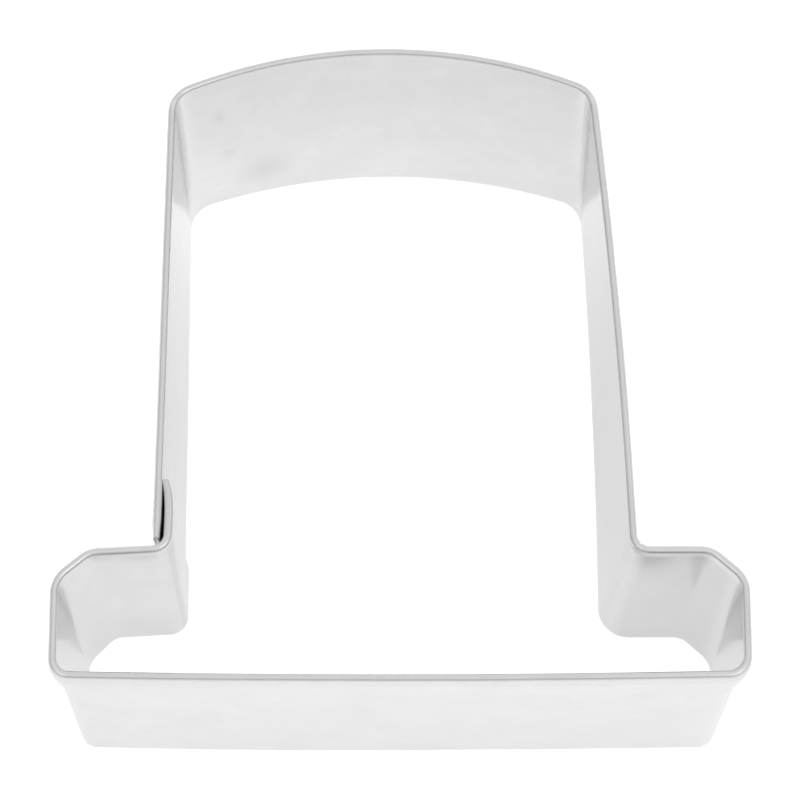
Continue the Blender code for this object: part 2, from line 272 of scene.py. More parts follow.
# Lengths that follow from the ones above
SHOULDER_RIGHT = BRIM_DEPTH + CROWN_LENGTH
SHOULDER_LEFT = SHOULDER_RIGHT - LEFT_SHOULDER_DROP
HEM_TURN = (HEM_GAP + SHEET) / 2
LIP_HEIGHT = STRIP_HEIGHT - HEM_DEPTH
BEAD_HEIGHT = STRIP_HEIGHT - SHEET / 2 - HEM_TURN
FOOT_SPACING = SHEET + LAP_CLEARANCE
LIP_SPACING = HEM_GAP + 2 * SHEET + LAP_CLEARANCE
RIM_SPACING = FOOT_SPACING + (LIP_SPACING - FOOT_SPACING) * STRIP_HEIGHT / LIP_HEIGHT
OUTER_END = BRIM_DEPTH + OUTER_END_ABOVE_SHELF
WELD_Y = BRIM_DEPTH + WELDS_ABOVE_SHELF


# Outline of the strip seen from above

def bowed_edge(start, end, bow, steps):
    """Points on the arc from start to end whose middle stands out to the right of the way by bow."""
    chord = end - start
    length = chord.length
    side = Vector((chord.y, -chord.x)) / length
    if abs(bow) < STRAIGHT:
        return [start + chord * k / steps for k in range(steps + 1)]
    radius = (length ** 2 / 4 + bow ** 2) / (2 * bow)
    half = math.asin(length / 2 / abs(radius)) * math.copysign(1, bow)
    points = []
    for k in range(steps + 1):
        angle = half * (2 * k / steps - 1)
        along = length / 2 + abs(radius) * math.sin(angle) * math.copysign(1, bow)
        points.append(start + chord * along / length + side * (radius * math.cos(angle) - radius + bow))
    return points


def cut_back(points, distance):
    """The polyline with this much taken off its start."""
    left = distance
    for k in range(len(points) - 1):
        step = points[k + 1] - points[k]
        if step.length > left:
            return [points[k] + step * left / step.length] + points[k + 1:]
        left -= step.length
    return points[-2:]


def resample(points, steps):
    """The same polyline with this many equal steps."""
    marks = [0.0]
    for a, b in zip(points, points[1:]):
        marks.append(marks[-1] + (b - a).length)
    result = []
    k = 0
    for n in range(steps + 1):
        mark = marks[-1] * n / steps
        while k < len(marks) - 2 and marks[k + 1] < mark:
            k += 1
        share = (mark - marks[k]) / (marks[k + 1] - marks[k])
        result.append(points[k].lerp(points[k + 1], min(share, 1.0)))
    return result


def outline(corners, radii, bows, steps):
    """Middle line through the corners, each rounded by its radius, and the number of each bend's middle."""
    edges = [bowed_edge(corners[k], corners[k + 1], bows[k], ARC_STEPS) for k in range(len(bows))]
    lengths = [sum((b - a).length for a, b in zip(edge, edge[1:])) for edge in edges]
    trims = [0.0]
    for k in range(1, len(edges)):
        before = (edges[k - 1][-1] - edges[k - 1][-2]).normalized()
        after = (edges[k][1] - edges[k][0]).normalized()
        trim = radii[k - 1] * math.tan(before.angle(after) / 2)
        trims.append(min(trim, MOST_TRIM * lengths[k - 1], MOST_TRIM * lengths[k]))
    trims.append(0.0)

    ways = []
    for k, edge in enumerate(edges):
        shortened = cut_back(cut_back(edge, trims[k])[::-1], trims[k + 1])
        ways.append(resample(shortened[::-1], steps[k]))

    line = list(ways[0])
    middles = []
    for before, after in zip(ways, ways[1:]):
        leave = (before[-1] - before[-2]).normalized()
        enter = (after[1] - after[0]).normalized()
        turn = leave.angle(enter)
        reach = (after[0] - before[-1]).length / (2 * math.sin(turn / 2)) * math.tan(turn / 4) * 4 / 3
        handles = (before[-1], before[-1] + leave * reach, after[0] - enter * reach, after[0])
        bend = interpolate_bezier(*[point.to_3d() for point in handles], CORNER_STEPS + 1)
        middles.append(len(line) - 1 + CORNER_STEPS // 2)
        line += [point.to_2d() for point in bend[1:-1]]
        line += after
    return line, middles


def crown_left_x(y, base, top, shoulder):
    """X of the crown's left side at this Y, on the straight line from base to top."""
    return base + (top - base) * (y - BRIM_DEPTH) / (shoulder - BRIM_DEPTH)


def strip_line(sprung):
    """The strip's middle line from the inner end to the outer end, at the foot or, sprung, at the rim."""
    spring = 1.0 if sprung else 0.0
    base_left = CROWN_BASE_LEFT + SPRING_BASE_LEFT_X * spring
    base_right = CROWN_BASE_RIGHT + SPRING_BASE_RIGHT_X * spring
    top_left = CROWN_TOP_LEFT + SPRING_TOP_LEFT_X * spring
    top_right = CROWN_TOP_RIGHT + SPRING_TOP_RIGHT_X * spring
    shoulder_left = SHOULDER_LEFT + SPRING_SHOULDERS_Y * spring
    shoulder_right = SHOULDER_RIGHT + SPRING_SHOULDERS_Y * spring
    dome = DOME_RISE + SPRING_DOME_RISE * spring
    spacing = RIM_SPACING if sprung else FOOT_SPACING
    left_chamfer = CHAMFER_WIDTH + SPRING_LEFT_CHAMFER_X * (spring - 1.0)
    left_shelf = BRIM_DEPTH + SPRING_LEFT_SHELF_Y * (spring - 1.0) - LEFT_SHELF_DROP
    shoulder_radius = SHOULDER_RADIUS if sprung else SHOULDER_FOOT_RADIUS
    right_shelf = BRIM_DEPTH + RIGHT_SHELF_RISE
    front_left = SPRING_FRONT_LEFT_X * spring - FRONT_LEFT
    front_right = SPRING_FRONT_RIGHT_X * spring + FRONT_RIGHT
    right_radius = RIGHT_INNER_CORNER_RADIUS if sprung else RIGHT_INNER_CORNER_FOOT_RADIUS
    front_left_radius = FRONT_LEFT_RADIUS if sprung else FRONT_LEFT_FOOT_RADIUS
    front_right_radius = FRONT_RIGHT_RADIUS if sprung else FRONT_RIGHT_FOOT_RADIUS

    inner_end = OUTER_END + LAP_LENGTH
    outer_x = crown_left_x(OUTER_END, base_left, top_left, shoulder_left)
    inner_x = crown_left_x(inner_end, base_left, top_left, shoulder_left) + spacing
    corners = [
        Vector((inner_x, inner_end)),
        Vector((base_left + spacing, left_shelf + LEFT_SHELF_RISE)),
        Vector((left_chamfer - BRIM_LEFT, left_shelf)),
        Vector((-BRIM_LEFT, BRIM_DEPTH - CHAMFER_DEPTH)),
        Vector((front_left, 0.0)),
        Vector((front_right, 0.0)),
        Vector((BRIM_RIGHT, BRIM_DEPTH - CHAMFER_DEPTH)),
        Vector((BRIM_RIGHT - CHAMFER_WIDTH, right_shelf)),
        Vector((base_right, right_shelf)),
        Vector((top_right, shoulder_right)),
        Vector((top_left, shoulder_left)),
        Vector((outer_x, OUTER_END)),
    ]
    radii = [LEFT_INNER_CORNER_RADIUS, SHELF_BEND_RADIUS, CHAMFER_BEND_RADIUS, front_left_radius,
             front_right_radius, CHAMFER_BEND_RADIUS, SHELF_BEND_RADIUS, right_radius,
             shoulder_radius, shoulder_radius]
    bows = [-LAP_BOW * spring, 0.0, 0.0, 0.0, FRONT_BOW, 0.0, 0.0, 0.0, RIGHT_SIDE_BOW, dome, 0.0]
    steps = [24, 12, 6, 14, 116, 14, 6, 12, 90, 84, 100]
    return outline(corners, radii, bows, steps)


# Section of the sheet, from the foot up the wall, over the fold and down to its lip

def wall_levels():
    """Heights of the wall's rows: even, and closer together at the welds and where the wall curls outward."""
    levels = [EDGE_ROUND * rest for rest in EDGE_RESTS]
    while levels[-1] < BEAD_HEIGHT - WELD_STEP * 0.6:
        close = any(abs(levels[-1] - height) < 1.4 * WELD_RADIUS for height in WELD_HEIGHTS.values())
        curled = levels[-1] > BEAD_HEIGHT - TOP_CURL_LENGTH - WALL_STEP
        levels.append(levels[-1] + (WELD_STEP if close or curled else WALL_STEP))
    return levels[:-1] + [BEAD_HEIGHT]


def top_curl(level):
    """How far the wall has curled outward at this height."""
    return TOP_CURL * max(1.0 - (BEAD_HEIGHT - level) / TOP_CURL_LENGTH, 0.0) ** 2


def section():
    """Rows of the sheet's middle line: out, up, the inner side's direction (out, up), hem, thickness.

    Hem grows from 0 at the wall's top to 1 where the fold has turned down, and to 2 at its lip.
    """
    line = [(top_curl(level), level, 0.0) for level in wall_levels()]
    top = BEAD_HEIGHT + HEM_TURN
    for k in range(1, BEAD_STEPS + 1):
        angle = math.pi - (math.pi - LIP_TILT) * k / BEAD_STEPS
        if angle < math.pi / 2:
            out = FOLD_CREST + (2 * HEM_TURN - FOLD_CREST) * math.cos(angle)
            up = top - FOLD_SHOULDER * (1 - math.sin(angle))
        else:
            out = FOLD_CREST - (FOLD_CREST - TOP_CURL) * abs(math.cos(angle)) ** FOLD_SQUARENESS
            up = top - HEM_TURN * (1 - math.sin(angle) ** FOLD_SQUARENESS)
        line.append((out, up, k / BEAD_STEPS))
    start = line[-1]
    for k in range(1, LIP_STEPS + 1):
        share = k / LIP_STEPS
        up = start[1] + (LIP_HEIGHT + EDGE_ROUND * EDGE_RESTS[-1] - start[1]) * share
        swung = min((start[1] - up) / LIP_SWING, 1.0)
        out = start[0] + LIP_TILT * LIP_SWING * swung * (1 - swung / 2) - LIP_CLOSING * share
        line.append((out, up, 1.0 + share))
    line += [(line[-1][0], LIP_HEIGHT + EDGE_ROUND * rest, 2.0) for rest in reversed(EDGE_RESTS[:-1])]
    line = np.array(line)
    way = np.gradient(line[:, :2], axis=0)
    way /= np.linalg.norm(way, axis=1)[:, None]
    way[line[:, 2] == 0.0] = (0.0, 1.0)
    thickness = [edge_thickness(up if hem < 1.5 else up - LIP_HEIGHT) for _, up, hem in line]
    return np.column_stack([line[:, :2], -way[:, 1], way[:, 0], line[:, 2], thickness])


def edge_thickness(distance):
    """Share of the sheet's thickness left this far from a sheared edge."""
    inside = min(distance / EDGE_ROUND, 1.0)
    return 1.0 - 2 * EDGE_ROUND / SHEET * (1.0 - math.sqrt(1.0 - (1.0 - inside) ** 2))


def bump(distance, width):
    """One in the middle, fading softly to none."""
    return np.exp(-(distance / width) ** 2)


def ramp(value, start, end):
    """None up to start, one from end on."""
    return np.clip((value - start) / (end - start), 0.0, 1.0)


def lap_fade(distance, fade):
    """One in the lap and none beyond it, at this distance from the layer's cut end."""
    return ramp(distance, LAP_LENGTH + fade[0], LAP_LENGTH + fade[1])


def eased(share):
    """The same way from none to one without its two kinks."""
    return share * share * (3 - 2 * share)


def running_length(line):
    """The line's length up to each of its points."""
    steps = np.linalg.norm(np.diff(line, axis=0), axis=1)
    return np.concatenate([[0.0], np.cumsum(steps)])


def waves_along(marks, waves):
    """Smooth noise along the strip, as a column: a sum of waves, each a length, a share and a seed."""
    total = np.zeros((len(marks), 1))
    for length, share, seed in waves:
        total[:, 0] += [share * noise.noise(Vector((mark / length, seed, 0.37 * seed))) for mark in marks]
    return total


def noise_in_space(points, length, seed):
    """Smooth noise at each point of a grid."""
    flat = points.reshape(-1, 3) / length + np.array((seed, 1.7 * seed, 0.6 * seed))
    return np.array([noise.noise(Vector(point)) for point in flat]).reshape(points.shape[:-1])


class Strip:
    """The whole strip as two grids of points, one a row of the section for every station along it.

    What differs along the strip is a column, what differs across it a row, and the two multiply to a grid.
    """

    def __init__(self):
        foot, middles = strip_line(False)
        rim, _ = strip_line(True)
        self.foot = self.with_end_rows(np.array(foot))
        self.rim = self.with_end_rows(np.array(rim))
        self.foot_outward = self.outward_of(self.foot)
        self.rim_outward = self.outward_of(self.rim)
        self.marks = running_length(self.foot)
        self.length = self.marks[-1]
        self.along = self.marks[:, None]
        self.from_end = self.length - self.along
        added = len(EDGE_RESTS) - 1
        self.bend_marks = [self.marks[middle + added] for middle in middles]
        rows = section()
        self.across = running_length(rows[:, :2])
        self.out, self.up, self.side_out, self.side_up, self.hem, self.thick = rows.T[:, None, :]
        self.build()

    @staticmethod
    def with_end_rows(line):
        """Three more stations at each end, where the sheared edge is rounded."""
        head = line[1] - line[0]
        head /= np.linalg.norm(head)
        tail = line[-1] - line[-2]
        tail /= np.linalg.norm(tail)
        start = [line[0] + head * EDGE_ROUND * rest for rest in EDGE_RESTS]
        end = [line[-1] - tail * EDGE_ROUND * rest for rest in reversed(EDGE_RESTS)]
        return np.concatenate([start, line[1:-1], end])

    @staticmethod
    def outward_of(line):
        """Directions to the right of the way, which is the strip's outer side."""
        way = np.gradient(line, axis=0)
        way /= np.linalg.norm(way, axis=1)[:, None]
        return np.stack([way[:, 1], -way[:, 0]], axis=1)

    def build(self):
        """Both faces of the sheet, half its thickness to either side of the worked middle."""
        out, up = self.worked_section()
        middle = self.place(out, up)
        sway = SWAY * noise_in_space(middle, SWAY_LENGTH, 2.3)
        sway = sway + RIPPLE * noise_in_space(middle, RIPPLE_LENGTH, 4.9)
        out = out + sway * (1.0 - HELD_AT_RIM * ramp(self.up, 0.0, STRIP_HEIGHT))
        half = self.thickness() / 2
        sides = []
        for sign in (1.0, -1.0):
            face_out = out + sign * half * self.side_out + self.dish(middle, sign)
            face_up = up + sign * half * self.side_up
            sides.append(self.place(face_out, face_up))
        self.inside, self.outside = sides

    def worked_section(self):
        """How far out and how high each row lies at each station, after all that was done to the sheet."""
        lip = ramp(self.hem, 1.0, 2.0)
        on_hem = ramp(self.hem, 0.0, 1.0)
        height = ramp(self.up, 0.0, STRIP_HEIGHT)
        bead_wander = BEAD_WANDER * waves_along(self.marks, BEAD_WAVES)
        lip_wander = LIP_WANDER * waves_along(self.marks, LIP_WAVES)
        head = self.head_end()
        squeeze = TAIL_SQUEEZE * self.tail_end(TAIL_SQUEEZE_LENGTH) + HEAD_SQUEEZE * head
        shut = ramp(STRIP_HEIGHT - self.up, HEAD_SHUT_FROM, HEAD_SHUT_FULL) * (self.hem > 0.5)

        out = self.out * (1 - squeeze) - HEAD_SHUT * head * shut
        out = out + BEAD_SIDEWAYS * on_hem * bead_wander
        out = out + lip * (self.flare() - self.closing())
        out = out + self.fullness() - self.crease() * ramp(self.out, 0.0, 2 * HEM_TURN) ** 0.7
        out = out + TAIL_PINCH * self.tail_end(TAIL_PINCH_LENGTH) * height ** 2
        out = out + HEAD_VEER * head * height ** 4
        out = out + self.dents() + self.tail_knee()
        up = self.up + lip * (lip_wander + self.lip_lift())
        up = up + bump(self.up - STRIP_HEIGHT, BEAD_REACH) * bead_wander
        return out, up

    def place(self, out, up):
        """Points this far out from the wall's middle and this high, at every station."""
        rise = (up / STRIP_HEIGHT)[:, :, None]
        line = self.foot[:, None, :] * (1 - rise) + self.rim[:, None, :] * rise
        outward = self.foot_outward[:, None, :] * (1 - rise) + self.rim_outward[:, None, :] * rise
        outward /= np.linalg.norm(outward, axis=2)[:, :, None]
        xy = line + outward * out[:, :, None]
        return np.concatenate([xy, np.broadcast_to(up, out.shape)[:, :, None]], axis=2)

    def thickness(self):
        """The sheet's own, less where a sheared edge is rounded and in the outer layer's pressed hem."""
        ends = np.array([[edge_thickness(mark) * edge_thickness(self.length - mark)] for mark in self.marks])
        thin = HEAD_THIN * ramp(self.from_end, HEAD_THIN_LENGTH, 0.0)
        folded = ramp(self.hem, 0.0, 0.2) * ramp(self.hem, 1.5, 1.2)
        return SHEET * np.minimum(ends, self.thick) * (1 - thin * folded)

    def beside(self, bend, along=0.0):
        """How far each station lies from the place this far along from a bend's middle."""
        return self.along - self.bend_marks[bend] - along

    def patch(self, bend, along, height, half_width, half_height):
        """A soft patch of the wall, one in its middle, which lies this far along from a bend."""
        return bump(self.beside(bend, along), half_width) * bump(self.up - height, half_height)

    def closing(self):
        """The lip lies closer to the wall round the outer bends, where it is stretched."""
        close = sum(bump(self.beside(bend), CLOSING_WIDTH) for bend in CLOSED_BENDS)
        corners = sum(bump(self.beside(bend), CLOSING_WIDTH) for bend in FRONT_BENDS)
        return BEND_CLOSING * np.clip(close, 0.0, 1.0) + CORNER_CLOSING * corners

    def lip_lift(self):
        """The stretched lip stands a little higher round the outer bends."""
        return sum(rise * bump(self.beside(bend), LIP_RISE_WIDTH) for bend, rise in LIP_RISES)

    def crease(self):
        """The hem is gathered in the two inner corners and folds over in the right one."""
        right = self.beside(Bend.INNER_RIGHT)
        fold = bump(right, CREASE_WIDTH)
        shoulders = CREASE_SHOULDER * bump(np.abs(right) - CREASE_SHOULDER_PLACE, CREASE_WIDTH)
        left = CREASE_LEFT * bump(self.beside(Bend.INNER_LEFT), 2 * CREASE_WIDTH)
        return CREASE_DEPTH * (fold - shoulders + left)

    def tail_end(self, length):
        """One at the inner layer's cut end, none from this length on."""
        return ramp(self.along, length, 0.0) ** 2.6

    def head_end(self):
        """One at the outer layer's cut end, none from the veer's length on."""
        return eased(ramp(self.from_end, HEAD_VEER_LENGTH, 0.0))

    def flare(self):
        """How far the lip stands open along the lap's outer layer."""
        opening = ramp(self.from_end, LIP_FLARE_LENGTH, 0.0) ** 0.7
        return LIP_FLARE * opening * ramp(self.from_end, 0.0, LIP_FLARE_END)

    def fullness(self):
        """The inner layer's hem is fuller along the lap and in the corner below it."""
        sets_in = ramp(self.along, 0.0, FULLNESS_START)
        ends = lap_fade(self.along, FULLNESS_FADE)
        return LAP_FULLNESS * sets_in * ends * ramp(self.hem, 0.2, 0.7)

    def dents(self):
        """Small dents of the wall, pressed outwards, or inwards where the depth is negative."""
        return sum(depth * self.patch(*place) for *place, depth in DENTS) * (self.hem == 0.0)

    def tail_knee(self):
        """Under the hem the inner layer's wall lies on the outer one; only the hem holds it off."""
        in_lap = ramp(self.along, LAP_LENGTH, LAP_LENGTH - KNEE_LENGTH)
        rise = ramp(self.up, 0.0, LIP_HEIGHT)
        return in_lap * (LIP_SPACING - FOOT_SPACING) * (rise - rise ** 4)

    def dish(self, middle, sign):
        """Electrode marks on the inner layer's inner face and the outer layer's outer face."""
        shown = (self.along if sign > 0 else self.from_end) < LAP_LENGTH
        dent = 0.0
        for height in WELD_HEIGHTS.values():
            away = np.hypot(middle[:, :, 1] - WELD_Y, middle[:, :, 2] - height)
            dent = np.maximum(dent, eased(ramp(away, *WELD_DISH_REACH)))
        return sign * WELD_DISH * dent * shown

    def shade_and_dark_patches(self):
        """Darker colour: painted shade of a wedge, of the right shelf and under the fold in the inner
        corners, and darker patches on the back wall's dents and the crown's left wall.
        """
        below = ramp(self.up, *WEDGE_HEIGHTS)
        aside = np.abs(self.beside(Bend.SHELF_RIGHT, WEDGE_PLACE) - WEDGE_LEAN * below)
        wedge = np.clip(1.4 - aside / (WEDGE_TIP + WEDGE_SPREAD * below), 0.0, 1.0) * (below > 0)
        shade_patches = [dull * self.patch(*place) for *place, dull in SHADE_PATCHES]
        shaded = np.maximum.reduce([WEDGE_SHADE * wedge * np.sqrt(below)] + shade_patches)
        at_dents = sum(dull * self.patch(*place) for *place, dull in DENT_PATCHES)

        shelf = ramp(self.beside(Bend.CHAMFER_RIGHT), 0.0, SHELF_FADE)
        shelf = shelf * ramp(self.beside(Bend.INNER_RIGHT), 0.0, -SHELF_FADE)
        shelf = shelf * (0.6 + 0.4 * self.up / STRIP_HEIGHT)
        left_wall = ramp(self.beside(Bend.SHOULDER_LEFT), *LEFT_WALL_FADE)
        left_wall = left_wall + (self.beside(Bend.INNER_LEFT) < 0)
        on_wall = ramp(self.up, *DARKENING_FADE) * (self.hem == 0.0)
        return on_wall * (shaded + at_dents + SHELF_SHADE * shelf + LEFT_WALL_DARKENING * left_wall)

    def painted_highlight(self):
        """Painted highlights: bright flanks of the fold by the lap's gap, in the right inner corner and,
        weaker, all round.
        """
        tail = lap_fade(self.along, HIGHLIGHT_TAIL_FADE)
        head = lap_fade(self.from_end, HIGHLIGHT_HEAD_FADE)
        corner = bump(self.beside(Bend.INNER_RIGHT, HIGHLIGHT_CORNER_PLACE), HIGHLIGHT_CORNER_WIDTH)
        lip_side = ramp(self.hem, 0.55, 0.70) * ramp(self.hem, 1.30, 1.15)
        lip_face = ramp(self.hem, 0.85, 0.95) * ramp(self.hem, 1.12, 1.02)
        wall_side = ramp(self.hem, 0.32, 0.20) * ramp(self.up, *HIGHLIGHT_HEIGHTS)
        in_lap = np.maximum(tail * lip_side, head * np.maximum(wall_side, HIGHLIGHT_LIP_FACE * lip_face))
        all_round = HIGHLIGHT_ALL_ROUND * wall_side * (self.hem > 0)
        return np.maximum(np.maximum(in_lap, corner * wall_side), all_round)

    def painted_gap_shade(self):
        """Painted shade in the lap's gap, for the inner and the outer face."""
        tail = lap_fade(self.along, GAP_SHADE_TAIL_FADE)
        head = lap_fade(self.from_end, GAP_SHADE_HEAD_FADE)
        inside = np.maximum(tail * ramp(self.hem, 1.02, 1.22), head * (self.hem == 0.0))
        return inside, tail

    def cut_edge(self):
        """The sheared edges all round the sheet."""
        ends = np.minimum(self.along, self.from_end)
        edges = np.minimum(self.across, self.across[-1] - self.across)
        return np.minimum(ends, edges) < 0.6 * EDGE_ROUND

    def painted_bend_highlight(self):
        """Painted highlight: a little at each bend, and the full share beside the two shoulders."""
        bends = range(len(self.bend_marks))
        shine = [BEND_SHINE * bump(self.beside(bend), BEND_SHINE_WIDTH) for bend in bends]
        shine += [bump(self.beside(*place), SHOULDER_SHINE_WIDTH) for place in SHOULDER_SHINES]
        return np.maximum.reduce(shine)

    def looks(self):
        """Each attribute that the material reads, for the inner and the outer face."""
        cut = self.cut_edge()
        fold = np.clip(9 * self.hem * (1.3 - self.hem), 0.0, 1.0)
        dull = self.shade_and_dark_patches()
        painted_highlight = self.painted_highlight()
        shine = self.painted_bend_highlight()
        return {
            "cut_edge": (cut, cut),
            "painted_gap_shade": self.painted_gap_shade(),
            "fold": (fold, fold),
            # painted shade, and darker patches on the dents and the crown's left wall
            "painted_shade_and_dark_patches": (dull, DARKENING_OUTSIDE * dull),
            "painted_highlight": (painted_highlight, painted_highlight),
            # painted highlight at the bends
            "bend": (shine, shine),
        }


def strip_object(strip):
    """The strip's two grids joined along every edge into one closed mesh."""
    stations, rows = strip.inside.shape[:2]
    count = stations * rows
    points = np.concatenate([strip.inside.reshape(-1, 3), strip.outside.reshape(-1, 3)])
    near = np.arange(count).reshape(stations, rows)
    far = near + count

    def ribbon(a, b):
        return np.stack([a[:-1], b[:-1], b[1:], a[1:]], axis=-1).reshape(-1, 4)

    faces = np.concatenate([
        np.stack([near[:-1, :-1], near[:-1, 1:], near[1:, 1:], near[1:, :-1]], axis=-1).reshape(-1, 4),
        np.stack([far[:-1, :-1], far[1:, :-1], far[1:, 1:], far[:-1, 1:]], axis=-1).reshape(-1, 4),
        ribbon(far[:, 0], near[:, 0]),
        ribbon(near[:, -1], far[:, -1]),
        ribbon(near[0], far[0]),
        ribbon(far[-1], near[-1]),
    ])
    mesh = bpy.data.meshes.new("tin_strip")
    mesh.from_pydata(points.tolist(), [], faces.tolist())
    mesh.update()

    developed = np.zeros((2 * count, 2))
    developed[:, 0] = np.tile(np.repeat(strip.marks, rows), 2)
    developed[:, 1] = np.tile(np.tile(strip.across, stations), 2)
    layer = mesh.uv_layers.new(name="developed")
    corners = np.zeros(len(mesh.loops), dtype=np.int32)
    mesh.loops.foreach_get("vertex_index", corners)
    layer.data.foreach_set("uv", developed[corners].astype(np.float32).ravel())

    for name, faces_values in strip.looks().items():
        values = [np.broadcast_to(share, (stations, rows)).ravel() for share in faces_values]
        attribute = mesh.attributes.new(name, "FLOAT", "POINT")
        attribute.data.foreach_set("value", np.concatenate(values).astype(np.float32))

    mesh.shade_smooth()
    mesh.set_sharp_from_angle(angle=SHARP_ANGLE)
    return bpy.data.objects.new("tin_strip", mesh)


def face_x(lines, y, z):
    """X of one face of the lap at this Y and Z, from the face's lines up the wall."""
    xs = [np.interp(z, line[:, 2], line[:, 0]) for line in lines]
    ys = [np.interp(z, line[:, 2], line[:, 1]) for line in lines]
    order = np.argsort(ys)
    return float(np.interp(y, np.array(ys)[order], np.array(xs)[order]))


def weld_object(name, strip, height, seed):
    """A weld's nugget from face to face of the lap; its ends are dull, slightly rippled discs."""
    wall = slice(0, len(wall_levels()))
    inner_face = strip.inside[strip.marks < LAP_LENGTH, wall]
    outer_face = strip.outside[strip.marks > strip.length - LAP_LENGTH, wall]
    points = []
    for lines, sign in ((inner_face, 1.0), (outer_face, -1.0)):
        for ring in WELD_RINGS:
            for k in range(WELD_SIDES if ring else 1):
                angle = 2 * math.pi * k / WELD_SIDES
                round_about = Vector((2 * math.cos(angle), 2 * math.sin(angle), seed + sign))
                reach = ring * WELD_RADIUS * (1 + WELD_UNEVENNESS * noise.noise(round_about))
                y = WELD_Y + reach * math.cos(angle)
                z = height + reach * math.sin(angle)
                spot = Vector((y, z, 0.0)) * WELD_RIPPLE_SCALE + Vector((seed, 0, 0))
                ripple = WELD_RIPPLE * noise.noise(spot)
                ridge = WELD_RIDGE_RISE * math.exp(-((ring - WELD_RIDGE) / WELD_RIDGE_WIDTH) ** 2)
                fade = 1.0 if ring < WELD_RINGS[-1] else -WELD_RIM_SINK
                lift = WELD_PROUD * (1.0 + ripple + ridge) * fade
                points.append((face_x(lines, y, z) + sign * lift, y, z))
    per_side = 1 + (len(WELD_RINGS) - 1) * WELD_SIDES

    def index(side, ring, k):
        start = side * per_side
        return start if ring == 0 else start + 1 + (ring - 1) * WELD_SIDES + k % WELD_SIDES

    faces = []
    for side in (0, 1):
        for k in range(WELD_SIDES):
            disc = [(index(side, 0, 0), index(side, 1, k), index(side, 1, k + 1))]
            for ring in range(1, len(WELD_RINGS) - 1):
                disc.append((index(side, ring, k), index(side, ring + 1, k),
                             index(side, ring + 1, k + 1), index(side, ring, k + 1)))
            faces += disc if side == 0 else [face[::-1] for face in disc]
    last = len(WELD_RINGS) - 1
    for k in range(WELD_SIDES):
        faces.append((index(0, last, k + 1), index(0, last, k), index(1, last, k), index(1, last, k + 1)))
    mesh = bpy.data.meshes.new(name)
    mesh.from_pydata(points, [], faces)
    mesh.update()
    mesh.shade_smooth()
    mesh.set_sharp_from_angle(angle=SHARP_ANGLE)
    return bpy.data.objects.new(name, mesh)


# Materials

# Scales are per metre; those of the grain and the scratches run along the strip and across it
TIN_GREYS = (0.735, 0.775)    # where a smear is thin and where it is thick
TIN_ROUGHNESS = (0.105, 0.165)
SMEAR_SCALE = 150.0
MOTTLE_GREY = 0.715
MOTTLE_SHARE = 0.35
MOTTLE_SCALE = 620.0
GRAIN_SCALE = (140.0, 9000.0, 1.0)
GRAIN_SHARE = 0.55
BRUSHED_SCALE = (35.0, 1600.0, 1.0)
BRUSHED_SHARE = 0.45
BRUSHED_ROUGHNESS = 0.035
RELIEF_STRENGTH = 0.25
RELIEF_HEIGHT = 0.000004
SCRATCHES = ((0.12, 900.0, 0.0), (-0.35, 700.0, 3.0), (1.2, 800.0, 7.0))     # turn, fineness, place
SCRATCH_SCALE = 60.0
SCRATCH_THRESHOLD = (0.735, 0.80)
SCRATCH_DEPTH = 0.15
HIGHLIGHT_METAL = 0.25           # where the highlight is painted the sheet is also less metallic, so that it shows light from all round
WEAR_AND_PAINTED_LIGHT = (                      # wear and painted light by place: where, share of its grey, that grey, its warmth, roughness that it adds
    ("scratches", 0.12, 0.86, 0.0, 0.10),
    # painted highlight at the bends
    ("bend", 0.5, 0.92, 0.0, 0.22),
    ("fold", 0.0, 0.0, 0.0, 0.13),
    # painted highlight on the fold's flanks
    ("painted_highlight", 0.9, 0.96, 0.0, 0.20),
    # painted shade, and darker patches on the dents and the crown's left wall
    ("painted_shade_and_dark_patches", 1.0, 0.50, 0.0, 0.0),
    ("cut_edge", 0.6, 0.70, 0.006, 0.20),
    # painted shade in the lap's gap
    ("painted_gap_shade", 0.9, 0.10, 0.02, 0.30),
)


class Nodes:
    """Short calls for making a node tree."""

    def __init__(self, tree):
        self.tree = tree

    def add(self, kind, inputs=(), **settings):
        node = self.tree.nodes.new(kind)
        for key, value in settings.items():
            setattr(node, key, value)
        for name, value in dict(inputs).items():
            socket = node.inputs[name]
            if isinstance(value, bpy.types.NodeSocket):
                self.tree.links.new(value, socket)
            else:
                socket.default_value = value
        return node

    def math(self, operation, *values, clamp=False):
        inputs = {k: value for k, value in enumerate(values)}
        return self.add("ShaderNodeMath", inputs, operation=operation, use_clamp=clamp).outputs[0]

    def mapped(self, value, low, high, to_low, to_high):
        inputs = {"Value": value, "From Min": low, "From Max": high, "To Min": to_low, "To Max": to_high}
        return self.add("ShaderNodeMapRange", inputs).outputs["Result"]

    def noise(self, vector, scale, detail=3.0, roughness=0.5):
        inputs = {"Vector": vector, "Scale": scale, "Detail": detail, "Roughness": roughness}
        return self.add("ShaderNodeTexNoise", inputs).outputs["Fac"]

    def attribute(self, name):
        return self.add("ShaderNodeAttribute", attribute_name=name).outputs["Fac"]

    def mix(self, share, a, b):
        inputs = {0: share, 6: a, 7: b}
        return self.add("ShaderNodeMix", inputs, data_type="RGBA").outputs[2]


def new_material(name):
    material = bpy.data.materials.new(name)
    material.use_nodes = True
    return material, material.node_tree.nodes["Principled BSDF"], Nodes(material.node_tree)


def grey(value, warmth=0.0):
    return (value * (1 + warmth), value, value * (1 - warmth), 1.0)


